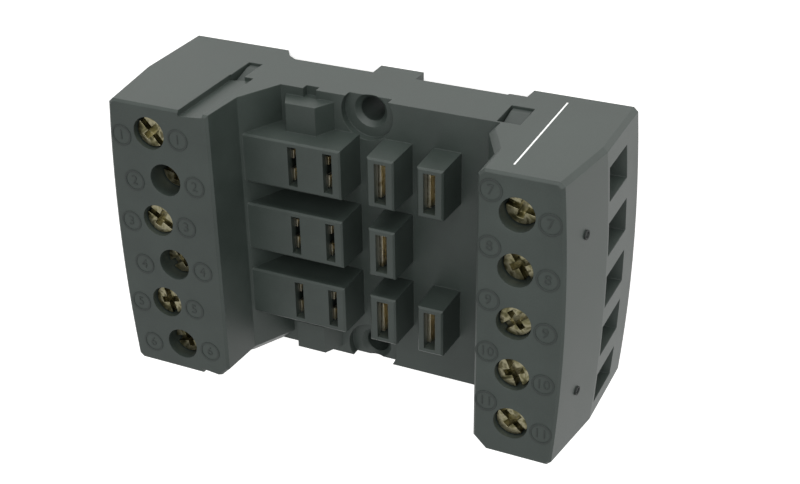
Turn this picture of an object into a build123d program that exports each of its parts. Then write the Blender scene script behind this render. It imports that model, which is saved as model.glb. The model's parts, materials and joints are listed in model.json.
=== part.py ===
from build123d import *
import os

os.makedirs("parts", exist_ok=True)

# Relay socket for a panel or a 35 mm rail. Millimetres, Z up from the mounting face.
# X runs from the six-screw tower to the five-screw tower, +Y is the lettered side.

# Moulded body
body_length = 83.4
body_width = 50.0
body_height = 29.7
end_bow_radius = 284.6
end_lean_start = 16.0
end_lean = 2.1
corner_break = 0.7
edge_break = 0.4
bottom_corner_break = 2.2
top_corner_break = 1.0

# Front recess that takes the relay
recess_left = -20.0
recess_right = 25.4
floor_height = 13.8
left_slope_top = 21.4
left_slope_top_x = -19.5
left_slope_foot_x = -15.6
right_slope_top = 22.6
right_slope_foot = 16.2
right_foot_x = 21.9
wall_draft = 0.1

# Back outline between the towers
web_back = 3.2
left_tower_inner = -21.7
left_step_x = -20.3
left_step_height = 2.1
left_web_x = -18.7
right_tower_inner = 23.4
right_step_x = 20.0
right_step_height = 2.8
step_draft = 0.2

# Contact blocks
row_pitch = 12.7
middle_row_y = 1.4
block_height = 7.1
block_depth_y = 9.0
block_draft = 1.2
block_edge_break = 0.3
left_block_end_x = -1.4
middle_block_x = 5.5
middle_block_width = 5.0
right_block_x = 14.1
right_block_width = 4.8
column_a = -10.2
column_b = -3.8
column_m = 5.5
column_r = 14.0
slot_length = 7.0
left_slot_width = 1.6
wide_slot_width = 2.0
slot_skin = 1.5

# Posts that the relay's hold-down bears on
post_x = -10.3
post_base_width = 8.9
post_front_width = 5.4
post_height = 3.5
post_outer_y = 23.5
post_inner_y = 18.2
strip_notch_width = 2.4
strip_notch_depth = 1.3
strip_notch_wall = 1.6

# Panel screw holes
panel_hole_inset = 2.6
panel_hole_diameter = 4.2
panel_bore_diameter = 9.2
panel_bore_depth = 1.5
panel_countersink_diameter = 5.8
boss_half_width = 3.9
boss_reach = 5.2

# Terminals
left_count = 6
right_count = 5
left_pitch = 7.95
right_pitch = 9.3
left_outer_inset = 10.4
left_inner_inset = 12.7
right_inset = 10.0
left_first_y = 20.0
well_diameter = 5.7
left_head_sinks = [1.0, 3.6, 1.0, 2.6, 1.1, 2.2]
right_head_sinks = [2.5, 2.1, 1.2, 1.0, 1.1]
left_slot_angles = [42.0, 80.0, 60.0, 124.0, 16.0, 107.0]
right_slot_angles = [75.0, 30.0, 130.0, 23.0, 48.0]

# Clamp cage
cage_width = 6.2
cage_length = 6.0
cage_bottom = 6.2
cage_top = 15.2
cage_wall = 0.8
cage_top_wall = 1.8
thread_hole_diameter = 3.6
cage_clearance = 0.1
cavity_headroom = 0.2
cavity_end_room = 0.4

# Screw and pressure plate
open_head_sink = 0.6
head_diameter = 5.3
head_height = 2.4
shank_diameter = 3.4
drive_slot_width = 1.1
drive_slot_depth = 1.2
drive_cross_span = 3.4
drive_cross_depth = 1.6
plate_length = 5.2
plate_width = 4.2
plate_thickness = 1.2
plate_gap = 0.2
tip_clearance = 0.02

# Contact strip
strip = 0.6
tongue_width = 4.2
busbar_width = 1.6
channel_clearance = 0.15
channel_height = 1.0
joggle_start = 3.4
joggle_end = 4.7
leaf_width = 6.4
fork_leaf_width = 5.5
fork_leaf_offset = -0.45
fork_slit_width = 1.9
fork_slit_offset = -0.1
fork_slit_bottom = 9.5
leaf_base_x = 1.4
leaf_neck_x = 0.75
leaf_mouth_x = 1.1
leaf_bend_z = 10.0
leaf_neck_drop = 3.7
leaf_tip_drop = 1.7
leaf_clearance = 0.15
top_lane_y = 18.9
bottom_lane_y = -18.4
row_two_lane_y = 3.6

# Wire entries
right_mouth_width = 6.0
left_mouth_width = 5.6
mouth_bottom = 5.8
mouth_top = 16.0
throat_width = 4.6
throat_bottom = 7.4
throat_top = 13.0

# Rear cover
cover_plate = 1.8
cover_web = 1.5
cover_riser = 1.6
body_wall = 1.4
cover_clearance = 0.1
left_window = (-25.2, -22.6)
left_window_height = (7.5, 13.5)
right_window = (22.1, 26.0)
right_window_height = (6.9, 13.5)
arm_thickness = 1.1
arm_side_gap = 0.35
catch_reach = 1.0
catch_land = 1.4
arm_top_gap = 0.7

# Rail grip
rail_edge_right = 18.3
rail_slot = 1.3
seat_relief = 0.3
relief_margin = 0.4
hook_reach = 1.3
hook_width = 7.0
hook_y = 12.0
latch_width = 8.0
latch_flange = 0.9
latch_bottom = 0.3
latch_thickness = 2.0
latch_flange_thickness = 1.0
latch_clearance = 0.1
latch_nose_x = -15.5
latch_tail_x = -41.2
latch_travel = 2.5
latch_roof = 1.0
latch_way_length = 5.6
latch_window = (-33.1, -23.6)
latch_window_width = 4.4
latch_post_length = 1.5
latch_post_width = 3.0
spring_strip = 0.3
spring_height = 1.4
spring_span = 3.4
spring_folds = 7

# Lettered side of the left tower
panel_step_x = -25.4
panel_step_depth = 1.0
panel_step_inner_x = -20.9
panel_step_inner_depth = 0.5

# Derived sizes
half_width = body_width / 2
half_length = body_length / 2
end_axis_x = end_bow_radius - half_length
left_outer_row_x = left_outer_inset - half_length
left_inner_row_x = left_inner_inset - half_length
right_row_x = half_length - right_inset
tower_middle_x = (recess_right + half_length) / 2
block_front = floor_height + block_height
leaf_neck_z = block_front - leaf_neck_drop
leaf_tip_z = block_front - leaf_tip_drop
panel_hole_y = half_width - panel_hole_inset
panel_bore_floor = floor_height - panel_bore_depth
boss_inner_y = half_width - boss_reach
rows = [middle_row_y + row_pitch, middle_row_y, middle_row_y - row_pitch]
cover_top = web_back + cover_web
cover_half_width = half_width - body_wall
pocket_half_width = cover_half_width + cover_clearance
cavity_top = cage_top + cavity_headroom
cavity_half_width = cage_width / 2 + cage_clearance
cavity_end = cage_length / 2 + cavity_end_room
left_riser_x = left_tower_inner - cover_riser
right_riser_x = right_tower_inner + cover_riser
arm_outer_y = cover_half_width
arm_inner_y = arm_outer_y - arm_thickness
tongue_top = cage_bottom + cage_wall + strip
plate_open_top = cage_top - cage_top_wall - plate_gap
leaf_cavity_half_x = leaf_base_x + leaf_clearance
leaf_cavity_half_y = leaf_width / 2 + leaf_clearance
latch_flange_top = latch_bottom + latch_thickness
channel_half_width = latch_width / 2 + latch_clearance
channel_top = latch_flange_top + latch_clearance
channel_side_y = channel_half_width + latch_flange + latch_roof + latch_clearance
snap_windows = [(left_window, left_window_height), (right_window, right_window_height)]

# One row per terminal: screw X, screw Y, way to the web, head sink, drive angle, mouth width
terminals = []
for index in range(left_count):
    outer = index % 2 == 0
    screw_x = left_outer_row_x if outer else left_inner_row_x
    screw_y = left_first_y - index * left_pitch
    sink = left_head_sinks[index]
    terminals.append((screw_x, screw_y, 1, sink, left_slot_angles[index], left_mouth_width))
for index in range(right_count):
    screw_y = ((right_count - 1) / 2 - index) * right_pitch
    sink = right_head_sinks[index]
    terminals.append((right_row_x, screw_y, -1, sink, right_slot_angles[index], right_mouth_width))

# One row per contact: X and Y of the slot, Y of the busbar lane
routes = [
    (column_b, rows[0], top_lane_y),
    (column_a, rows[0], terminals[1][1]),
    (column_a, rows[1], row_two_lane_y),
    (column_b, rows[1], terminals[3][1]),
    (column_a, rows[2], terminals[4][1]),
    (column_b, rows[2], bottom_lane_y),
    (column_m, rows[0], top_lane_y),
    (column_r, rows[0], terminals[7][1]),
    (column_m, rows[1], terminals[8][1]),
    (column_r, rows[2], terminals[9][1]),
    (column_m, rows[2], bottom_lane_y),
]

back_outline = [
    (left_tower_inner, 0),
    (left_step_x, left_step_height),
    (left_web_x, web_back),
    (right_step_x, web_back),
    (right_step_x + step_draft, right_step_height),
    (right_tower_inner - step_draft, right_step_height),
    (right_tower_inner, 0),
]


def stands_up(edge):
    return abs(edge.tangent_at(0.5).Z) > abs(edge.tangent_at(0.5).X)


# Housing: one moulding with both towers, the web and the contact blocks
with BuildPart() as housing:
    with BuildSketch(Plane.XZ):
        with BuildLine():
            Polyline(
                (-half_length, 0),
                *back_outline,
                (half_length, 0),
                (half_length, body_height),
                (recess_right, body_height),
                (recess_right - wall_draft, right_slope_top),
                (right_foot_x, right_slope_foot),
                (right_foot_x, floor_height),
                (left_slope_foot_x, floor_height),
                (left_slope_top_x, left_slope_top),
                (recess_left, body_height),
                (-half_length, body_height),
                close=True,
            )
        make_face()
    extrude(amount=half_width, both=True)

    # Bowed ends that lean in above the wire entries
    for side in (-1, 1):
        with BuildSketch(Plane.XZ.shift_origin((-side * end_axis_x, 0, 0))):
            with BuildLine():
                Polyline(
                    (0, 0),
                    (side * end_bow_radius, 0),
                    (side * end_bow_radius, end_lean_start),
                    (side * (end_bow_radius - end_lean), body_height),
                    (0, body_height),
                    close=True,
                )
            make_face()
        revolve(axis=Axis((-side * end_axis_x, 0, 0), (0, 0, 1)), mode=Mode.INTERSECT)

    # Broken corners: at the ends, where the recess walls meet the sides, and round the fronts
    uprights = housing.edges().filter_by(stands_up)
    chamfer(uprights.filter_by(lambda edge: abs(edge.center().X) > tower_middle_x), length=corner_break)
    for side, reach, length in ((-1, tower_middle_x, bottom_corner_break), (1, 0, top_corner_break)):
        uprights = housing.edges().filter_by(stands_up)
        walls = uprights.filter_by(lambda edge: -reach < edge.center().X < tower_middle_x)
        walls = walls.filter_by(lambda edge: side * edge.center().Y > half_width - edge_break)
        chamfer(walls.filter_by(lambda edge: edge.center().Z > floor_height), length=length)
    fronts = housing.faces().filter_by(Axis.Z).sort_by(Axis.Z)[-2:]
    chamfer(fronts.edges(), length=edge_break)

    # Contact blocks
    for row_y in rows:
        block_start = left_slope_top_x - body_wall
        block_span = left_block_end_x - block_start
        with BuildSketch(Plane.XY.offset(floor_height)):
            with Locations((block_start + block_span / 2, row_y)):
                Rectangle(block_span, block_depth_y)
            with Locations((middle_block_x, row_y)):
                Rectangle(middle_block_width, block_depth_y)
        extrude(amount=block_height, taper=block_draft)
    with BuildSketch(Plane.XY.offset(floor_height)):
        with Locations((right_block_x, rows[0]), (right_block_x, rows[2])):
            Rectangle(right_block_width, block_depth_y)
    extrude(amount=block_height, taper=block_draft)
    block_faces = housing.faces().filter_by(Axis.Z)
    block_faces = block_faces.filter_by(lambda face: abs(face.center().Z - block_front) < block_edge_break)
    block_edges = block_faces.edges().filter_by(lambda edge: edge.center().X > left_slope_top_x + body_wall)
    chamfer(block_edges, length=block_edge_break)

    # Hold-down posts, with a notch in the strip's edge beside each
    for side in (-1, 1):
        with BuildSketch(Plane.XZ.offset(-side * post_inner_y)):
            with BuildLine():
                Polyline(
                    (post_x - post_base_width / 2, floor_height),
                    (post_x - post_front_width / 2, floor_height + post_height),
                    (post_x + post_front_width / 2, floor_height + post_height),
                    (post_x + post_base_width / 2, floor_height),
                    close=True,
                )
            make_face()
        extrude(amount=-side * (post_outer_y - post_inner_y))
        with BuildSketch(Plane.XY.offset(floor_height)):
            with Locations((post_x, side * (half_width - strip_notch_wall / 2))):
                Rectangle(strip_notch_width, strip_notch_wall)
        extrude(amount=-strip_notch_depth, mode=Mode.SUBTRACT)

    # Rear pocket for the cover
    with BuildSketch(Plane.XZ):
        with BuildLine():
            Polyline(
                (-half_length + body_wall, 0),
                (-half_length + body_wall, cover_plate),
                (left_riser_x - cover_clearance, cover_plate),
                (left_riser_x - cover_clearance, cover_top),
                (right_riser_x + cover_clearance, cover_top),
                (right_riser_x + cover_clearance, cover_plate),
                (half_length - body_wall, cover_plate),
                (half_length - body_wall, 0),
                close=True,
            )
        make_face()
    extrude(amount=pocket_half_width, both=True, mode=Mode.SUBTRACT)

    # Panel screw bosses, holes and counterbores
    for side in (-1, 1):
        with BuildSketch(Plane.XY):
            with Locations((0, side * (half_width + boss_inner_y) / 2)):
                Rectangle(2 * boss_half_width, half_width - boss_inner_y)
        extrude(amount=cover_top)
        with BuildSketch(Plane.XY.offset(panel_bore_floor)):
            with Locations((0, side * panel_hole_y)):
                Circle(panel_bore_diameter / 2)
        extrude(amount=floor_height - panel_bore_floor, mode=Mode.SUBTRACT)
        with Locations((0, side * panel_hole_y, panel_bore_floor)):
            CounterSinkHole(
                radius=panel_hole_diameter / 2,
                counter_sink_radius=panel_countersink_diameter / 2,
                depth=panel_bore_floor,
            )

    # Cage cavities, open towards the web, with a round well over each screw
    with BuildSketch(Plane.XY):
        for screw_x, screw_y, inward, *_ in terminals:
            riser_x = left_riser_x if inward > 0 else right_riser_x
            cavity_outer_x = screw_x - inward * cavity_end
            with Locations(((cavity_outer_x + riser_x) / 2, screw_y)):
                Rectangle(abs(cavity_outer_x - riser_x), 2 * cavity_half_width)
    extrude(amount=cavity_top, mode=Mode.SUBTRACT)
    with BuildSketch(Plane.XY.offset(cavity_top)):
        with Locations(*[(screw_x, screw_y) for screw_x, screw_y, *_ in terminals]):
            Circle(well_diameter / 2)
    extrude(amount=body_height - cavity_top, mode=Mode.SUBTRACT)

    # Wire entries that narrow from the bowed ends to the cages
    for screw_x, screw_y, inward, sink, angle, mouth_width in terminals:
        mouth_x = -inward * (half_length + body_wall)
        throat_x = screw_x - inward * cavity_end
        with BuildPart(mode=Mode.SUBTRACT):
            with BuildSketch(Plane.XZ.offset(-screw_y)):
                with BuildLine():
                    Polyline(
                        (mouth_x, mouth_bottom),
                        (throat_x, throat_bottom),
                        (throat_x, throat_top),
                        (mouth_x, mouth_top),
                        close=True,
                    )
                make_face()
            extrude(amount=mouth_width / 2, both=True)
            with BuildSketch(Plane.XY):
                with BuildLine():
                    Polyline(
                        (mouth_x, screw_y - mouth_width / 2),
                        (throat_x, screw_y - throat_width / 2),
                        (throat_x, screw_y + throat_width / 2),
                        (mouth_x, screw_y + mouth_width / 2),
                        close=True,
                    )
                make_face()
            extrude(amount=mouth_top, mode=Mode.INTERSECT)

    # Channels for the busbars, from each cavity to its contact
    channel_width = busbar_width + 2 * channel_clearance
    with BuildSketch(Plane.XY.offset(cover_top)):
        for (screw_x, screw_y, inward, *_), (column_x, row_y, lane_y) in zip(terminals, routes):
            riser_x = left_riser_x if inward > 0 else right_riser_x
            lane_end = column_x + inward * channel_width / 2
            with Locations(((riser_x + lane_end) / 2, lane_y)):
                Rectangle(abs(lane_end - riser_x), channel_width)
            with Locations((column_x, (lane_y + row_y) / 2)):
                Rectangle(channel_width, abs(lane_y - row_y) + channel_width)
    extrude(amount=channel_height, mode=Mode.SUBTRACT)

    # Contact cavities and their blade slots
    with BuildSketch(Plane.XY.offset(cover_top)):
        with Locations(*[(column_x, row_y) for column_x, row_y, lane_y in routes]):
            Rectangle(2 * leaf_cavity_half_x, 2 * leaf_cavity_half_y)
    extrude(amount=block_front - slot_skin - cover_top, mode=Mode.SUBTRACT)
    with BuildSketch(Plane.XY.offset(cover_top)):
        for column_x, row_y, lane_y in routes:
            with Locations((column_x, row_y)):
                Rectangle(left_slot_width if column_x < 0 else wide_slot_width, slot_length)
    extrude(amount=block_front - cover_top, mode=Mode.SUBTRACT)

    # Windows for the cover's snap arms, each with the arm's slot behind it
    for window, heights in snap_windows:
        window_x = (window[0] + window[1]) / 2
        for side in (-1, 1):
            with BuildSketch(Plane.XY):
                with Locations((window_x, side * (arm_inner_y + pocket_half_width) / 2)):
                    Rectangle(window[1] - window[0], pocket_half_width - arm_inner_y + 2 * cover_clearance)
            extrude(amount=heights[1], mode=Mode.SUBTRACT)
            with BuildSketch(Plane.XZ.offset(-side * half_width)):
                with Locations((window_x, (heights[0] + heights[1]) / 2)):
                    Rectangle(window[1] - window[0], heights[1] - heights[0])
            extrude(amount=side * (half_width - pocket_half_width), mode=Mode.SUBTRACT)

    # Sloping step on the lettered side of the left tower
    for side in (-1, 1):
        with BuildSketch(Plane.XY.offset(left_window_height[1])):
            with BuildLine():
                Polyline(
                    (panel_step_x, side * (half_width + panel_step_depth)),
                    (panel_step_x, side * (half_width - panel_step_depth)),
                    (panel_step_inner_x, side * (half_width - panel_step_inner_depth)),
                    (panel_step_inner_x, side * (half_width + panel_step_depth)),
                    close=True,
                )
            make_face()
        extrude(amount=body_height, mode=Mode.SUBTRACT)

    # Way out through the left end for the rail latch, and room over its guide
    with BuildSketch(Plane.XY):
        with Locations((-half_length, 0)):
            Rectangle(latch_way_length, 2 * channel_half_width)
    extrude(amount=channel_top, mode=Mode.SUBTRACT)
    with BuildSketch(Plane.XY):
        with Locations(((left_riser_x - half_length + body_wall) / 2, 0)):
            guide_length = left_riser_x + half_length - body_wall
            Rectangle(guide_length, 2 * (channel_side_y + cover_clearance))
    extrude(amount=channel_top + latch_roof + cover_clearance, mode=Mode.SUBTRACT)

housing.part.label = "housing"
export_step(housing.part, "parts/housing.step")


# Rear cover: plates under both towers, the web's floor, the fixed rail hooks and the snap arms
with BuildPart() as base_cover:
    with BuildSketch(Plane.XZ):
        with BuildLine():
            Polyline(
                (-half_length, 0),
                *back_outline,
                (half_length, 0),
                (half_length, cover_plate),
                (right_riser_x, cover_plate),
                (right_riser_x, cover_top),
                (left_riser_x, cover_top),
                (left_riser_x, cover_plate),
                (-half_length, cover_plate),
                close=True,
            )
        make_face()
    extrude(amount=cover_half_width, both=True)
    with BuildSketch(Plane.XY):
        Rectangle(body_length - 2 * (body_wall + cover_clearance), 2 * cover_half_width)
        for side in (-1, 1):
            with Locations((0, side * (cover_half_width + boss_inner_y - cover_clearance) / 2)):
                boss_span = cover_half_width - boss_inner_y + cover_clearance
                Rectangle(2 * (boss_half_width + cover_clearance), boss_span, mode=Mode.SUBTRACT)
    extrude(amount=cover_top, mode=Mode.INTERSECT)

    # Relief in the rail seat over the hooks and the latch's nose, room to tilt the rail in
    with BuildSketch(Plane.XY.offset(web_back)):
        for hook_centre in (-hook_y, hook_y):
            with Locations((rail_edge_right - hook_reach / 2, hook_centre)):
                Rectangle(hook_reach + 2 * relief_margin, hook_width + 2 * relief_margin)
        with Locations(((left_web_x + latch_nose_x + relief_margin) / 2, 0)):
            Rectangle(latch_nose_x + relief_margin - left_web_x, latch_width + 2 * relief_margin)
    extrude(amount=seat_relief, mode=Mode.SUBTRACT)

    # Pads that carry the clamp cages
    pad_length = cage_length - 2 * cage_wall
    for screw_x, screw_y, *_ in terminals:
        with BuildSketch(Plane.XY):
            with Locations((screw_x, screw_y)):
                Rectangle(pad_length, cage_width - 2 * cage_wall)
        extrude(amount=cage_bottom)

    # Fixed hooks that hold one edge of the rail
    hook_tip_x = rail_edge_right - hook_reach
    hook_root_x = rail_edge_right + 2 * cover_clearance
    hook_lip = web_back - rail_slot
    for hook_centre in (-hook_y, hook_y):
        with BuildSketch(Plane.XZ.offset(-hook_centre)):
            with BuildLine():
                Polyline(
                    (right_tower_inner, 0),
                    (hook_tip_x + hook_reach / 2, 0),
                    (hook_tip_x, hook_reach / 2),
                    (hook_tip_x, hook_lip),
                    (hook_root_x, hook_lip),
                    (hook_root_x, web_back),
                    (right_tower_inner, web_back),
                    close=True,
                )
            make_face()
        extrude(amount=hook_width / 2, both=True)

    # Snap arms that catch in the housing's windows
    for window, heights in snap_windows:
        catch_z = heights[0] + cover_clearance
        arm_top = heights[1] - arm_top_gap
        window_x = (window[0] + window[1]) / 2
        arm_width = window[1] - window[0] - 2 * arm_side_gap
        for side in (-1, 1):
            with BuildSketch(Plane.YZ.offset(window_x)):
                with BuildLine():
                    Polyline(
                        (side * arm_inner_y, 0),
                        (side * arm_outer_y, 0),
                        (side * arm_outer_y, catch_z),
                        (side * (arm_outer_y + catch_reach), catch_z),
                        (side * (arm_outer_y + catch_reach), catch_z + catch_land),
                        (side * arm_outer_y, arm_top),
                        (side * arm_inner_y, arm_top),
                        close=True,
                    )
                make_face()
            extrude(amount=arm_width / 2, both=True)

    # Guide for the rail latch, with lips that hold its flanges
    guide_start = -half_length + body_wall + cover_clearance
    guide_span = left_step_x - guide_start
    guide_x = guide_start + guide_span / 2
    flange_way = channel_half_width + latch_flange
    lip_top = latch_flange_top - latch_flange_thickness - latch_clearance
    with BuildSketch(Plane.XY):
        with Locations((guide_x, 0)):
            Rectangle(guide_span, 2 * channel_side_y)
    extrude(amount=channel_top + latch_roof)
    with BuildSketch(Plane.XZ):
        with BuildLine():
            Polyline(
                (left_tower_inner, 0),
                (left_step_x, left_step_height),
                (left_web_x, web_back),
                (left_web_x, 0),
                close=True,
            )
        make_face()
    extrude(amount=channel_side_y, both=True, mode=Mode.SUBTRACT)
    with BuildSketch(Plane.XY):
        with Locations((guide_x, 0)):
            Rectangle(2 * guide_span, 2 * channel_half_width)
    extrude(amount=channel_top, mode=Mode.SUBTRACT)
    with BuildSketch(Plane.XY.offset(lip_top)):
        with Locations((guide_x, 0)):
            Rectangle(2 * guide_span, 2 * flange_way)
    extrude(amount=channel_top - lip_top, mode=Mode.SUBTRACT)
    latch_post_x = latch_window[0] + latch_clearance + latch_post_length / 2
    with BuildSketch(Plane.XY.offset(latch_bottom + latch_clearance)):
        with Locations((latch_post_x, 0)):
            Rectangle(latch_post_length, latch_post_width)
    extrude(amount=channel_top - latch_bottom)

base_cover.part.label = "base_cover"
export_step(base_cover.part, "parts/base_cover.step")


# Rail latch: a flanged slider whose nose grips the rail's other edge
with BuildPart() as rail_latch:
    nose_height = web_back - rail_slot
    with BuildSketch(Plane.XZ):
        with BuildLine():
            Polyline(
                (latch_tail_x, latch_bottom),
                (latch_nose_x - latch_thickness, latch_bottom),
                (latch_nose_x, nose_height - latch_clearance - latch_flange_thickness / 2),
                (latch_nose_x, nose_height),
                (left_web_x - latch_clearance, nose_height),
                (left_web_x - latch_travel / 2, latch_flange_top),
                (latch_tail_x, latch_flange_top),
                close=True,
            )
        make_face()
    extrude(amount=latch_width / 2, both=True)
    flange_start = -half_length + 2 * body_wall + latch_travel
    flange_end = left_tower_inner
    with BuildSketch(Plane.XY.offset(latch_flange_top - latch_flange_thickness)):
        with Locations(((flange_start + flange_end) / 2, 0)):
            Rectangle(flange_end - flange_start, latch_width + 2 * latch_flange)
    extrude(amount=latch_flange_thickness)
    window_length = latch_window[1] - latch_window[0]
    with BuildSketch(Plane.XY):
        with Locations(((latch_window[0] + latch_window[1]) / 2, 0)):
            Rectangle(window_length, latch_window_width)
        with Locations((latch_tail_x + latch_width / 2, 0)):
            SlotOverall(latch_width / 2, latch_thickness, rotation=90)
    extrude(amount=latch_flange_top, mode=Mode.SUBTRACT)

rail_latch.part.label = "rail_latch"
export_step(rail_latch.part, "parts/rail_latch.step")


# Latch spring: a flat strip folded to and fro between the cover's post and the latch
with BuildPart() as rail_latch_spring:
    spring_start = latch_window[0] + latch_clearance + latch_post_length
    spring_end = latch_window[1] - latch_clearance / 2
    fold = (spring_end - spring_start - spring_strip) / spring_folds
    spring_line = [(spring_start + spring_strip / 2, -spring_span / 2)]
    for index in range(spring_folds):
        bend_y = spring_span / 2 if index % 2 == 0 else -spring_span / 2
        spring_line.append((spring_start + spring_strip / 2 + index * fold, bend_y))
        spring_line.append((spring_start + spring_strip / 2 + (index + 1) * fold, bend_y))
    spring_line.append((spring_start + spring_strip / 2 + spring_folds * fold, -bend_y))
    spring_z = latch_bottom + (latch_thickness - spring_height) / 2
    with BuildSketch(Plane.XY.offset(spring_z)):
        with BuildLine():
            Polyline(*spring_line)
            offset(amount=spring_strip / 2, side=Side.BOTH, kind=Kind.INTERSECTION)
        make_face()
    extrude(amount=spring_height)

rail_latch_spring.part.label = "rail_latch_spring"
export_step(rail_latch_spring.part, "parts/rail_latch_spring.step")


# Contacts: a tongue through the cage, a joggle down to the busbar and a spring receptacle
for number, (terminal, route) in enumerate(zip(terminals, routes), start=1):
    screw_x, screw_y, inward, *_ = terminal
    column_x, row_y, lane_y = route
    forked = column_x < 0
    with BuildPart() as contact:
        with BuildSketch(Plane.XZ.offset(-screw_y)):
            with BuildLine():
                Polyline(
                    (screw_x - inward * (cage_length / 2 - cage_wall / 2), tongue_top - strip),
                    (screw_x + inward * joggle_start, tongue_top - strip),
                    (screw_x + inward * joggle_end, cover_top),
                    (screw_x + inward * (joggle_end + strip), cover_top),
                )
                offset(amount=strip, side=Side.LEFT if inward > 0 else Side.RIGHT, kind=Kind.INTERSECTION)
            make_face()
        extrude(amount=tongue_width / 2, both=True)
        lane_start = screw_x + inward * joggle_end
        lane_end = column_x + inward * busbar_width / 2
        with BuildSketch(Plane.XY.offset(cover_top)):
            with Locations(((lane_start + lane_end) / 2, lane_y)):
                Rectangle(abs(lane_end - lane_start), busbar_width)
            with Locations((column_x, (lane_y + row_y) / 2)):
                Rectangle(busbar_width, abs(lane_y - row_y) + busbar_width)
        extrude(amount=strip)
        leaf_span = fork_leaf_width if forked else leaf_width
        leaf_centre = row_y + (fork_leaf_offset if forked else 0)
        with BuildSketch(Plane.XZ.offset(-leaf_centre)):
            with BuildLine():
                Polyline(
                    (column_x - leaf_mouth_x, leaf_tip_z),
                    (column_x - leaf_neck_x, leaf_neck_z),
                    (column_x - leaf_base_x, leaf_bend_z),
                    (column_x - leaf_base_x, cover_top),
                    (column_x + leaf_base_x, cover_top),
                    (column_x + leaf_base_x, leaf_bend_z),
                    (column_x + leaf_neck_x, leaf_neck_z),
                    (column_x + leaf_mouth_x, leaf_tip_z),
                )
                offset(amount=strip, side=Side.LEFT, kind=Kind.INTERSECTION)
            make_face()
        extrude(amount=leaf_span / 2, both=True)
        if forked:
            with BuildSketch(Plane.XY.offset(fork_slit_bottom)):
                with Locations((column_x, row_y + fork_slit_offset)):
                    Rectangle(2 * (leaf_base_x + strip), fork_slit_width)
            extrude(amount=leaf_tip_z, mode=Mode.SUBTRACT)
    contact.part.label = f"contact_{number:02d}"
    export_step(contact.part, f"parts/contact_{number:02d}.step")


# Clamps: the tapped cage, the screw that turns in it and the loose plate on the screw's tip
for number, terminal in enumerate(terminals, start=1):
    screw_x, screw_y, inward, sink, angle, mouth_width = terminal
    lift = open_head_sink - sink
    with BuildPart() as clamp_cage:
        with BuildSketch(Plane.YZ.offset(screw_x)):
            with Locations((screw_y, (cage_bottom + cage_top) / 2)):
                Rectangle(cage_width, cage_top - cage_bottom)
            inner_bottom = cage_bottom + cage_wall
            inner_top = cage_top - cage_top_wall
            with Locations((screw_y, (inner_bottom + inner_top) / 2)):
                Rectangle(cage_width - 2 * cage_wall, inner_top - inner_bottom, mode=Mode.SUBTRACT)
        extrude(amount=cage_length / 2, both=True)
        with BuildSketch(Plane.XY.offset(inner_top)):
            with Locations((screw_x, screw_y)):
                Circle(thread_hole_diameter / 2)
        extrude(amount=cage_top_wall, mode=Mode.SUBTRACT)
    clamp_cage.part.label = f"clamp_cage_{number:02d}"
    export_step(clamp_cage.part, f"parts/clamp_cage_{number:02d}.step")

    plate_top = plate_open_top + lift
    with BuildPart() as pressure_plate:
        with BuildSketch(Plane.XY.offset(plate_top)):
            with Locations((screw_x, screw_y)):
                Rectangle(plate_length, plate_width)
        extrude(amount=-plate_thickness)
    pressure_plate.part.label = f"pressure_plate_{number:02d}"
    export_step(pressure_plate.part, f"parts/pressure_plate_{number:02d}.step")

    head_top = body_height - sink
    head_base = head_top - head_height
    with BuildPart() as terminal_screw:
        with BuildSketch(Plane.XZ.offset(-screw_y)):
            with BuildLine():
                Polyline(
                    (screw_x, plate_top + tip_clearance),
                    (screw_x + shank_diameter / 2, plate_top + tip_clearance),
                    (screw_x + shank_diameter / 2, head_base),
                    (screw_x + head_diameter / 2, head_base),
                    (screw_x + head_diameter / 2, head_top),
                    (screw_x, head_top),
                    close=True,
                )
            make_face()
        revolve(axis=Axis((screw_x, screw_y, 0), (0, 0, 1)))
        with BuildSketch(Plane.XY.offset(head_top)):
            with Locations((screw_x, screw_y)):
                Rectangle(drive_slot_width, head_diameter + drive_slot_width, rotation=angle)
        extrude(amount=-drive_slot_depth, mode=Mode.SUBTRACT)
        with BuildSketch(Plane.XY.offset(head_top)):
            with Locations((screw_x, screw_y)):
                Rectangle(drive_cross_span, drive_slot_width, rotation=angle)
                Rectangle(drive_slot_width, drive_cross_span, rotation=angle)
        extrude(amount=-drive_cross_depth, mode=Mode.SUBTRACT)
    terminal_screw.part.label = f"terminal_screw_{number:02d}"
    export_step(terminal_screw.part, f"parts/terminal_screw_{number:02d}.step")
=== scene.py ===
import json
import math

import bpy
from mathutils import Matrix, Vector


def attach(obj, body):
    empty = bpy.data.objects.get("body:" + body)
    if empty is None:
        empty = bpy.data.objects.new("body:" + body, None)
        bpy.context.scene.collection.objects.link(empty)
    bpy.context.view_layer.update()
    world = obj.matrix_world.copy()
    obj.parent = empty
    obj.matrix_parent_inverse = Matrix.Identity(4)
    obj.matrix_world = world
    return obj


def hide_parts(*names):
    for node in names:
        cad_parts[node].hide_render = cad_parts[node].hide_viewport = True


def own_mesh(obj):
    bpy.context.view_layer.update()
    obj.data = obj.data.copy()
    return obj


# Relay socket lying on its back, seen from above its lettered side. Sizes of pieces and patterns
# are in millimetres in the CAD frame, and MM turns them to metres. The studio is in metres.
MM = 0.001

# Camera at the photograph's angle
CAMERA_PLACE = Vector((90.29, 112.52, 194.74)) * MM
CAMERA_RIGHT = Vector((0.90836, -0.01173, -0.41802))
CAMERA_UP = Vector((-0.19571, 0.87145, -0.44974))
FOCAL_LENGTH = 61.83
SENSOR_WIDTH = 36.0
NEAREST_SEEN = 0.01

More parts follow.
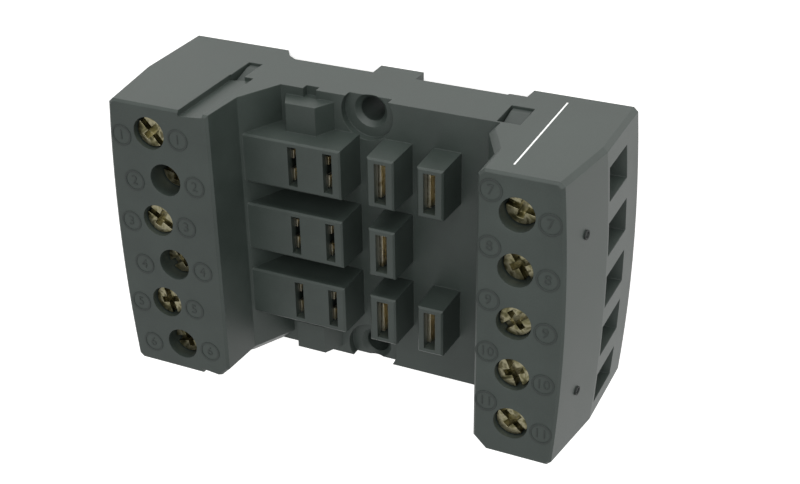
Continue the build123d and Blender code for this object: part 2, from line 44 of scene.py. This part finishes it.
# Studio: the sky lights the plastic weakly, and is white where it is seen or mirrored
LIT_SKY = 0.46
SEEN_SKY = 1.0
PAPER_COLOUR = "#F4F4F2"
PAPER_GLOW = 0.6
FLOOR_SIZE = 3.0
FLOOR_HEIGHT = -0.0002
LIGHT_AIM = (0, 0, 0.015)
KEY_PLACE = (0.05, 0.6, 0.1)
KEY_SIZE = (0.7, 0.2)
KEY_WATTS = 2.2
FILL_PLACE = (0.16, 0.26, 0.46)
FILL_SIZE = (0.4, 0.4)
FILL_WATTS = 1.65

# Raised rings and numbers on the towers' front faces, two to a screw. The left screws zig-zag,
# so each X has two values there. Drops and rises are from the screw's own row.
FRONT_Z = 29.7
RING_RADIUS = 1.9
RING_LINE = 0.36
RING_SIDES = 48
MARK_HEIGHT = 0.07
DIGIT_SIZE = 2.4
DIGIT_CURVE_STEPS = 3
LEFT_SCREWS = 6
LEFT_FIRST_Y = 20.0
LEFT_PITCH = 7.95
LEFT_OUTER_MARK_X = (-36.7, -35.1)
LEFT_INNER_MARK_X = (-25.9, -23.5)
LEFT_OUTER_MARK_DROP = 1.2
LEFT_INNER_MARK_DROP = 0.2
RIGHT_SCREWS = 5
RIGHT_PITCH = 9.3
RIGHT_INNER_MARK_X = 27.5
RIGHT_OUTER_MARK_X = 36.8
RIGHT_INNER_MARK_RISE = 3.2
RIGHT_OUTER_MARK_DROP = 0.5

# Printed rule on the lettered side of the right tower
RULE_X = 29.9
RULE_Z = (2.6, 26.6)
RULE_WIDTH = 0.27
SIDE_Y = 25.0
PRINT_HEIGHT = 0.02

# Marks that the mould's two gates left on the right tower's end: place, and turn about Z in
# degrees. The end leans in there.
GATES = (((40.25, 14.0, 23.2), 2.8), ((40.25, -14.0, 23.2), -2.8))
GATE_LEAN = math.radians(81.3)
GATE_SIDES = 14
GATE_RADIUS = 0.78
GATE_RIM = 0.28 * GATE_RADIUS
GATE_TEAR_SLOPE = 0.08 * GATE_RADIUS
GATE_HEIGHT = 0.5
GATE_TOP = 0.4 * GATE_HEIGHT
GATE_TEAR_DEPTH = 0.4 * GATE_HEIGHT

# Distance within which the copied spring's points are merged
MERGE_WITHIN = 0.001

# Moulded nylon. The flow clouds are as large as in the real moulding. Spark erosion leaves a grain
# of about 0.03 mm, which is drawn three to five times as coarse, so that it shows.
CLOUD_MM = 9
SPECKLE_GRAINS = 2.2
SPECKLE_SHARE = 0.35
NYLON_DARK_AT = 0.34
NYLON_LIGHT_AT = 0.68
NYLON_SMOOTHER = 0.05
NYLON_ROUGHER = 0.07
NYLON_EDGE_MM = 0.18
NYLON_GRAIN_STRENGTH = 0.35
NYLON_IOR = 1.53
NYLON_SPECULAR = 0.42

# Plated and bare metal. The film drifts in colour over a millimetre or two, as it does in the real
# one. Drawing and tumbling marks are a few hundredths of a millimetre wide, and are drawn 0.25 mm
# wide, so that they show.
MARK_MM = 0.25
FILM_DARK_AT = 0.32
FILM_LIGHT_AT = 0.68
METAL_SMOOTHER = 0.08
METAL_ROUGHER = 0.12
METAL_EDGE_MM = 0.12

# Depth of the fine relief of both
RELIEF_MM = 0.02
EDGE_SAMPLES = 4

# Printed ink. It thins over the mould's grain, drawn 0.3 mm wide for the same reason.
INK_THIN_MM = 0.3
INK_THIN = "#B9BBB8"
INK_THIN_AT = 0.2
INK_FULL_AT = 0.5
INK_ROUGHNESS = 0.6


def linear(hex_colour):
    """sRGB hex to a linear colour with alpha."""
    values = [int(hex_colour[i : i + 2], 16) / 255 for i in (1, 3, 5)]
    return [v / 12.92 if v <= 0.04045 else ((v + 0.055) / 1.055) ** 2.4 for v in values] + [1.0]


def add_node(tree, kind, settings=None, inputs=None):
    """Adds a node. An input's value is a number or colour, or another node's output socket."""
    node = tree.nodes.new(kind)
    for name, value in (settings or {}).items():
        setattr(node, name, value)
    for name, value in (inputs or {}).items():
        if isinstance(value, bpy.types.NodeSocket):
            tree.links.new(value, node.inputs[name])
        else:
            node.inputs[name].default_value = value
    return node


def new_material(name):
    material = bpy.data.materials.new(name)
    material.use_nodes = True
    material.node_tree.nodes.clear()
    return material, material.node_tree


def finish_material(tree, shader):
    add_node(tree, "ShaderNodeOutputMaterial", inputs={"Surface": shader.outputs["BSDF"]})


def moulded_nylon(name, dark, light, grain_mm, roughness):
    """Glass-filled nylon from a spark-eroded mould.

    To the eye: a matte charcoal with a fine even grain and faint flow clouds, which takes its
    lighter tones from the room at a flat angle, with edges that roll over and catch the light.
    """
    material, tree = new_material(name)
    place = add_node(tree, "ShaderNodeTexCoord").outputs["Object"]
    clouds = add_node(
        tree,
        "ShaderNodeTexNoise",
        inputs={"Vector": place, "Scale": 1 / (CLOUD_MM * MM), "Detail": 3.0, "Roughness": 0.6},
    )
    speckle_mm = SPECKLE_GRAINS * grain_mm
    speckle = add_node(
        tree,
        "ShaderNodeTexNoise",
        inputs={"Vector": place, "Scale": 1 / (speckle_mm * MM), "Detail": 2.0, "Roughness": 0.7},
    )
    tone = add_node(
        tree,
        "ShaderNodeMix",
        {"data_type": "FLOAT"},
        {0: SPECKLE_SHARE, 2: clouds.outputs["Fac"], 3: speckle.outputs["Fac"]},
    )
    ramp = add_node(tree, "ShaderNodeValToRGB", inputs={"Fac": tone.outputs[0]})
    ramp.color_ramp.elements[0].position = NYLON_DARK_AT
    ramp.color_ramp.elements[0].color = linear(dark)
    ramp.color_ramp.elements[1].position = NYLON_LIGHT_AT
    ramp.color_ramp.elements[1].color = linear(light)
    rough = add_node(
        tree,
        "ShaderNodeMapRange",
        inputs={
            "Value": clouds.outputs["Fac"],
            "To Min": roughness - NYLON_SMOOTHER,
            "To Max": roughness + NYLON_ROUGHER,
        },
    )
    edges = add_node(
        tree, "ShaderNodeBevel", {"samples": EDGE_SAMPLES}, {"Radius": NYLON_EDGE_MM * MM}
    )
    grain = add_node(
        tree,
        "ShaderNodeTexNoise",
        inputs={"Vector": place, "Scale": 1 / (grain_mm * MM), "Detail": 1.0, "Roughness": 0.5},
    )
    bump = add_node(
        tree,
        "ShaderNodeBump",
        inputs={
            "Strength": NYLON_GRAIN_STRENGTH,
            "Distance": RELIEF_MM * MM,
            "Height": grain.outputs["Fac"],
            "Normal": edges.outputs["Normal"],
        },
    )
    shader = add_node(
        tree,
        "ShaderNodeBsdfPrincipled",
        inputs={
            "Base Color": ramp.outputs["Color"],
            "Roughness": rough.outputs["Result"],
            "IOR": NYLON_IOR,
            "Specular IOR Level": NYLON_SPECULAR,
            "Normal": bump.outputs["Normal"],
        },
    )
    finish_material(tree, shader)
    return material


def plated_metal(name, colours, blotch_mm, roughness, scratch):
    """Drawn or stamped metal, plated or bare.

    To the eye: a satin metal whose colour drifts in soft blotches, as a thin passivation or tin
    film does, over small scratches that break up what it mirrors.
    """
    material, tree = new_material(name)
    place = add_node(tree, "ShaderNodeTexCoord").outputs["Object"]
    film = add_node(
        tree,
        "ShaderNodeTexNoise",
        inputs={"Vector": place, "Scale": 1 / (blotch_mm * MM), "Detail": 2.0, "Distortion": 0.6},
    )
    ramp = add_node(tree, "ShaderNodeValToRGB", inputs={"Fac": film.outputs["Fac"]})
    ramp.color_ramp.elements[0].position = FILM_DARK_AT
    ramp.color_ramp.elements[0].color = linear(colours[0])
    ramp.color_ramp.elements[1].position = FILM_LIGHT_AT
    ramp.color_ramp.elements[1].color = linear(colours[-1])
    step = (FILM_LIGHT_AT - FILM_DARK_AT) / (len(colours) - 1)
    for index, colour in enumerate(colours[1:-1], start=1):
        element = ramp.color_ramp.elements.new(FILM_DARK_AT + step * index)
        element.color = linear(colour)
    wear = add_node(
        tree,
        "ShaderNodeTexNoise",
        inputs={"Vector": place, "Scale": 1 / (MARK_MM * MM), "Detail": 3.0},
    )
    rough = add_node(
        tree,
        "ShaderNodeMapRange",
        inputs={
            "Value": wear.outputs["Fac"],
            "To Min": roughness - METAL_SMOOTHER,
            "To Max": roughness + METAL_ROUGHER,
        },
    )
    edges = add_node(
        tree, "ShaderNodeBevel", {"samples": EDGE_SAMPLES}, {"Radius": METAL_EDGE_MM * MM}
    )
    bump = add_node(
        tree,
        "ShaderNodeBump",
        inputs={
            "Strength": scratch,
            "Distance": RELIEF_MM * MM,
            "Height": wear.outputs["Fac"],
            "Normal": edges.outputs["Normal"],
        },
    )
    shader = add_node(
        tree,
        "ShaderNodeBsdfPrincipled",
        inputs={
            "Base Color": ramp.outputs["Color"],
            "Metallic": 1.0,
            "Roughness": rough.outputs["Result"],
            "Normal": bump.outputs["Normal"],
        },
    )
    finish_material(tree, shader)
    return material


def screen_ink(name, colour):
    """Screen-printed ink: to the eye a thin matte film, a little uneven over the mould's grain."""
    material, tree = new_material(name)
    place = add_node(tree, "ShaderNodeTexCoord").outputs["Object"]
    cover = add_node(
        tree,
        "ShaderNodeTexNoise",
        inputs={"Vector": place, "Scale": 1 / (INK_THIN_MM * MM), "Detail": 2.0},
    )
    ramp = add_node(tree, "ShaderNodeValToRGB", inputs={"Fac": cover.outputs["Fac"]})
    ramp.color_ramp.elements[0].position = INK_THIN_AT
    ramp.color_ramp.elements[0].color = linear(INK_THIN)
    ramp.color_ramp.elements[1].position = INK_FULL_AT
    ramp.color_ramp.elements[1].color = linear(colour)
    shader = add_node(
        tree,
        "ShaderNodeBsdfPrincipled",
        inputs={"Base Color": ramp.outputs["Color"], "Roughness": INK_ROUGHNESS},
    )
    finish_material(tree, shader)
    return material


def paint(obj, material):
    obj.data.materials.clear()
    obj.data.materials.append(material)


def deselect():
    bpy.ops.object.select_all(action="DESELECT")


def make_active(obj):
    deselect()
    obj.select_set(True)
    bpy.context.view_layer.objects.active = obj


def seat(obj, material):
    """Puts the piece's place into its mesh, gives it its finish and fixes it to the socket."""
    make_active(obj)
    bpy.ops.object.transform_apply(location=True, rotation=True, scale=True)
    paint(obj, material)
    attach(obj, "socket")


def raise_flat_piece(rise):
    """Gives the flat piece that is being edited its thickness, and turns its faces outwards."""
    bpy.ops.mesh.select_all(action="SELECT")
    bpy.ops.mesh.extrude_region_move(TRANSFORM_OT_translate={"value": rise})
    bpy.ops.mesh.select_all(action="SELECT")
    bpy.ops.mesh.normals_make_consistent(inside=False)
    bpy.ops.object.mode_set(mode="OBJECT")


def ring_mark(name, x, y, material):
    """A raised ring, moulded with the tower's front face."""
    deselect()
    bpy.ops.mesh.primitive_circle_add(
        vertices=RING_SIDES,
        radius=RING_RADIUS * MM,
        fill_type="NOTHING",
        location=(x * MM, y * MM, FRONT_Z * MM),
    )
    ring = bpy.context.object
    ring.name = name
    bpy.ops.object.mode_set(mode="EDIT")
    bpy.ops.mesh.select_all(action="SELECT")
    bpy.ops.mesh.extrude_region_move()
    shrink = (RING_RADIUS - RING_LINE) / RING_RADIUS
    bpy.ops.transform.resize(value=(shrink, shrink, 1))
    raise_flat_piece((0, 0, MARK_HEIGHT * MM))
    seat(ring, material)


def digit_mark(name, text, x, y, material):
    """A plain raised number inside a ring."""
    deselect()
    bpy.ops.object.text_add(location=(x * MM, y * MM, FRONT_Z * MM))
    digits = bpy.context.object
    digits.name = name
    digits.data.body = text
    digits.data.size = DIGIT_SIZE * MM
    digits.data.align_x = "CENTER"
    digits.data.align_y = "CENTER"
    digits.data.extrude = MARK_HEIGHT * MM
    digits.data.resolution_u = DIGIT_CURVE_STEPS
    bpy.ops.object.convert(target="MESH")
    seat(bpy.context.object, material)


def printed_rule(material):
    """The white line down the lettered side, as thick as its ink."""
    deselect()
    bpy.ops.mesh.primitive_plane_add(
        size=1, location=(RULE_X * MM, SIDE_Y * MM, sum(RULE_Z) / 2 * MM)
    )
    rule = bpy.context.object
    rule.name = "printed_rule"
    rule.rotation_euler = (-math.pi / 2, 0, 0)
    rule.scale = (RULE_WIDTH * MM, (RULE_Z[1] - RULE_Z[0]) * MM, 1)
    bpy.ops.object.transform_apply(location=False, rotation=True, scale=True)
    bpy.ops.object.mode_set(mode="EDIT")
    raise_flat_piece((0, PRINT_HEIGHT * MM, 0))
    seat(rule, material)


def gate_mark(name, place, turn, material):
    """The stub where the sprue broke off: a low round boss with a torn hollow in its top."""
    deselect()
    bpy.ops.mesh.primitive_cylinder_add(
        vertices=GATE_SIDES,
        radius=GATE_RADIUS * MM,
        depth=GATE_HEIGHT * MM,
        location=[value * MM for value in place],
        rotation=(0, GATE_LEAN, math.radians(turn)),
    )
    stub = bpy.context.object
    stub.name = name
    bpy.ops.object.mode_set(mode="EDIT")
    bpy.ops.mesh.select_all(action="DESELECT")
    bpy.ops.object.mode_set(mode="OBJECT")
    for face in stub.data.polygons:
        face.select = face.center.z > GATE_TOP * MM
    bpy.ops.object.mode_set(mode="EDIT")
    bpy.ops.mesh.inset(thickness=GATE_RIM * MM, depth=0)
    bpy.ops.mesh.inset(thickness=GATE_TEAR_SLOPE * MM, depth=-GATE_TEAR_DEPTH * MM)
    bpy.ops.object.mode_set(mode="OBJECT")
    seat(stub, material)


def return_spring(node, material):
    """The latch's folded spring, a still copy of the CAD one with its points merged; the real one
    shortens against the cover's post as the latch comes out.
    """
    deselect()
    spring = bpy.data.objects.new("latch_return_spring", node.data.copy())
    bpy.context.scene.collection.objects.link(spring)
    make_active(spring)
    bpy.ops.object.mode_set(mode="EDIT")
    bpy.ops.mesh.select_all(action="SELECT")
    bpy.ops.mesh.remove_doubles(threshold=MERGE_WITHIN * MM)
    bpy.ops.object.mode_set(mode="OBJECT")
    seat(spring, material)
    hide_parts("rail_latch_spring")
    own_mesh(spring)


def area_light(name, place, size, watts):
    light = bpy.data.lights.new(name, "AREA")
    light.shape = "RECTANGLE"
    light.size, light.size_y = size
    light.energy = watts
    lamp = bpy.data.objects.new(name, light)
    lamp.location = place
    lamp.rotation_euler = (Vector(place) - Vector(LIGHT_AIM)).to_track_quat("Z", "Y").to_euler()
    bpy.context.scene.collection.objects.link(lamp)


def seen_directly(tree):
    """1 for the camera's rays and those that gloss or glass sends on, 0 for light on things."""
    path = add_node(tree, "ShaderNodeLightPath")
    mirrored = add_node(
        tree,
        "ShaderNodeMath",
        {"operation": "MAXIMUM"},
        {0: path.outputs["Is Glossy Ray"], 1: path.outputs["Is Transmission Ray"]},
    )
    either = add_node(
        tree,
        "ShaderNodeMath",
        {"operation": "MAXIMUM"},
        {0: path.outputs["Is Camera Ray"], 1: mirrored.outputs["Value"]},
    )
    return either.outputs["Value"]


def pale_paper(name):
    """Seamless studio paper: white to the camera and in reflections, and it takes the shadow."""
    material, tree = new_material(name)
    diffuse = add_node(tree, "ShaderNodeBsdfDiffuse", inputs={"Color": linear(PAPER_COLOUR)})
    glow = add_node(
        tree, "ShaderNodeEmission", inputs={"Color": (1, 1, 1, 1), "Strength": PAPER_GLOW}
    )
    both = add_node(
        tree,
        "ShaderNodeAddShader",
        inputs={0: diffuse.outputs["BSDF"], 1: glow.outputs["Emission"]},
    )
    pick = add_node(
        tree,
        "ShaderNodeMixShader",
        inputs={"Fac": seen_directly(tree), 1: diffuse.outputs["BSDF"], 2: both.outputs["Shader"]},
    )
    add_node(tree, "ShaderNodeOutputMaterial", inputs={"Surface": pick.outputs["Shader"]})
    return material


def photo_camera(scene):
    camera_data = bpy.data.cameras.new("photo_camera")
    camera_data.lens = FOCAL_LENGTH
    camera_data.sensor_width = SENSOR_WIDTH
    camera_data.clip_start = NEAREST_SEEN
    camera = bpy.data.objects.new("photo_camera", camera_data)
    back = CAMERA_RIGHT.cross(CAMERA_UP)
    turn = Matrix((CAMERA_RIGHT, CAMERA_UP, back)).transposed().to_4x4()
    camera.matrix_world = Matrix.Translation(CAMERA_PLACE) @ turn
    scene.collection.objects.link(camera)
    scene.camera = camera


def pale_sky(scene):
    world = bpy.data.worlds.new("studio_world")
    scene.world = world
    world.use_nodes = True
    tree = world.node_tree
    tree.nodes.clear()
    strength = add_node(
        tree,
        "ShaderNodeMapRange",
        inputs={"Value": seen_directly(tree), "To Min": LIT_SKY, "To Max": SEEN_SKY},
    )
    sky = add_node(
        tree,
        "ShaderNodeBackground",
        inputs={"Color": (1, 1, 1, 1), "Strength": strength.outputs["Result"]},
    )
    add_node(tree, "ShaderNodeOutputWorld", inputs={"Surface": sky.outputs["Background"]})


def studio():
    """Camera, sky, floor and two soft lights: one on the lettered side, one near the camera."""
    scene = bpy.context.scene
    scene.view_settings.view_transform = "Standard"
    photo_camera(scene)
    pale_sky(scene)

    deselect()
    bpy.ops.mesh.primitive_plane_add(size=FLOOR_SIZE, location=(0, 0, FLOOR_HEIGHT))
    floor = bpy.context.object
    floor.name = "studio_floor"
    paint(floor, pale_paper("studio_paper"))

    area_light("key_softbox", KEY_PLACE, KEY_SIZE, KEY_WATTS)
    area_light("fill_softbox", FILL_PLACE, FILL_SIZE, FILL_WATTS)


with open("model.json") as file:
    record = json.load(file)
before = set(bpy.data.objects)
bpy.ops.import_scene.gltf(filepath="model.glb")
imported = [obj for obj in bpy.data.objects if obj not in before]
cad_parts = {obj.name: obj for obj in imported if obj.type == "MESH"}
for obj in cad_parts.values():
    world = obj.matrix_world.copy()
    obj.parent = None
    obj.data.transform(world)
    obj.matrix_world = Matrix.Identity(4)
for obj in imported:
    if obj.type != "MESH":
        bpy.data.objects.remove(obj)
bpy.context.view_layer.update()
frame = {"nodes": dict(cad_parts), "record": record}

# Housing: charcoal, the tone that sets the whole object
housing_nylon = moulded_nylon("glass_filled_nylon_charcoal", "#262E2A", "#323A36", 0.11, 0.5)
# Cover: another batch and a coarser mould, a shade darker and duller
cover_nylon = moulded_nylon("glass_filled_nylon_cover", "#242B28", "#2F3633", 0.14, 0.54)
# Rings and numbers: the housing's plastic, duller, and darker as painted shade, standing in for the
# shade that engraved strokes would hold
mark_nylon_painted_shade = moulded_nylon("glass_filled_nylon_marks_painted_shade", "#1B221F", "#252D29", 0.11, 0.58)
# Torn gates: rough and nearly black, because the break has no skin
scar_nylon = moulded_nylon("glass_filled_nylon_torn", "#0E1311", "#1A201D", 0.2, 0.72)
# Latch: a little greyer, and smoother from rubbing in its channel
latch_nylon = moulded_nylon("glass_filled_nylon_latch", "#2C3230", "#373D3A", 0.12, 0.46)
# Screws: yellow passivation over zinc, olive where it is thick and straw where it is thin
screw_zinc = plated_metal(
    "zinc_plated_steel_olive", ["#454330", "#6C684C", "#948F76", "#59553F"], 1.6, 0.31, 0.25
)
# Cages and plates: the same plating, thin and pale
cage_zinc = plated_metal("zinc_plated_steel_cage", ["#8F8A70", "#B4AE94", "#A8A290"], 3.0, 0.34, 0.3)
# Latch spring: bare bright steel strip
spring_steel = plated_metal("spring_steel_bare", ["#8C8E90", "#A6A8AA"], 2.0, 0.3, 0.2)
# Contacts: phosphor bronze under a thin tin film, a pale gold
contact_bronze = plated_metal(
    "phosphor_bronze_strip", ["#BDB08C", "#ECE5CE", "#D6CBAA"], 2.4, 0.32, 0.2
)
# Rule: white ink
white_ink = screen_ink("screen_ink_white", "#F1F2F0")

finishes = {
    "moulding": housing_nylon,
    "cover_moulding": cover_nylon,
    "latch_moulding": latch_nylon,
    "screw_zinc": screw_zinc,
    "cage_zinc": cage_zinc,
    "spring_steel": spring_steel,
    "contact_alloy": contact_bronze,
}
for part in frame["record"]["subparts"]:
    paint(frame["nodes"][part["node"]], finishes[part["material_slot"]])

marks = []
for index in range(LEFT_SCREWS):
    screw_y = LEFT_FIRST_Y - index * LEFT_PITCH
    lean = index % 2
    marks.append((index + 1, "outer", LEFT_OUTER_MARK_X[lean], screw_y - LEFT_OUTER_MARK_DROP))
    marks.append((index + 1, "inner", LEFT_INNER_MARK_X[lean], screw_y - LEFT_INNER_MARK_DROP))
for index in range(RIGHT_SCREWS):
    screw_y = (RIGHT_SCREWS // 2 - index) * RIGHT_PITCH
    number = LEFT_SCREWS + index + 1
    marks.append((number, "inner", RIGHT_INNER_MARK_X, screw_y + RIGHT_INNER_MARK_RISE))
    marks.append((number, "outer", RIGHT_OUTER_MARK_X, screw_y - RIGHT_OUTER_MARK_DROP))
for number, side, x, y in marks:
    ring_mark(f"ring_{number:02d}_{side}", x, y, mark_nylon_painted_shade)
    digit_mark(f"digit_{number:02d}_{side}", str(number), x, y, mark_nylon_painted_shade)
printed_rule(white_ink)
for index, (place, turn) in enumerate(GATES, start=1):
    gate_mark(f"gate_mark_{index}", place, turn, scar_nylon)
return_spring(frame["nodes"]["rail_latch_spring"], spring_steel)
studio()
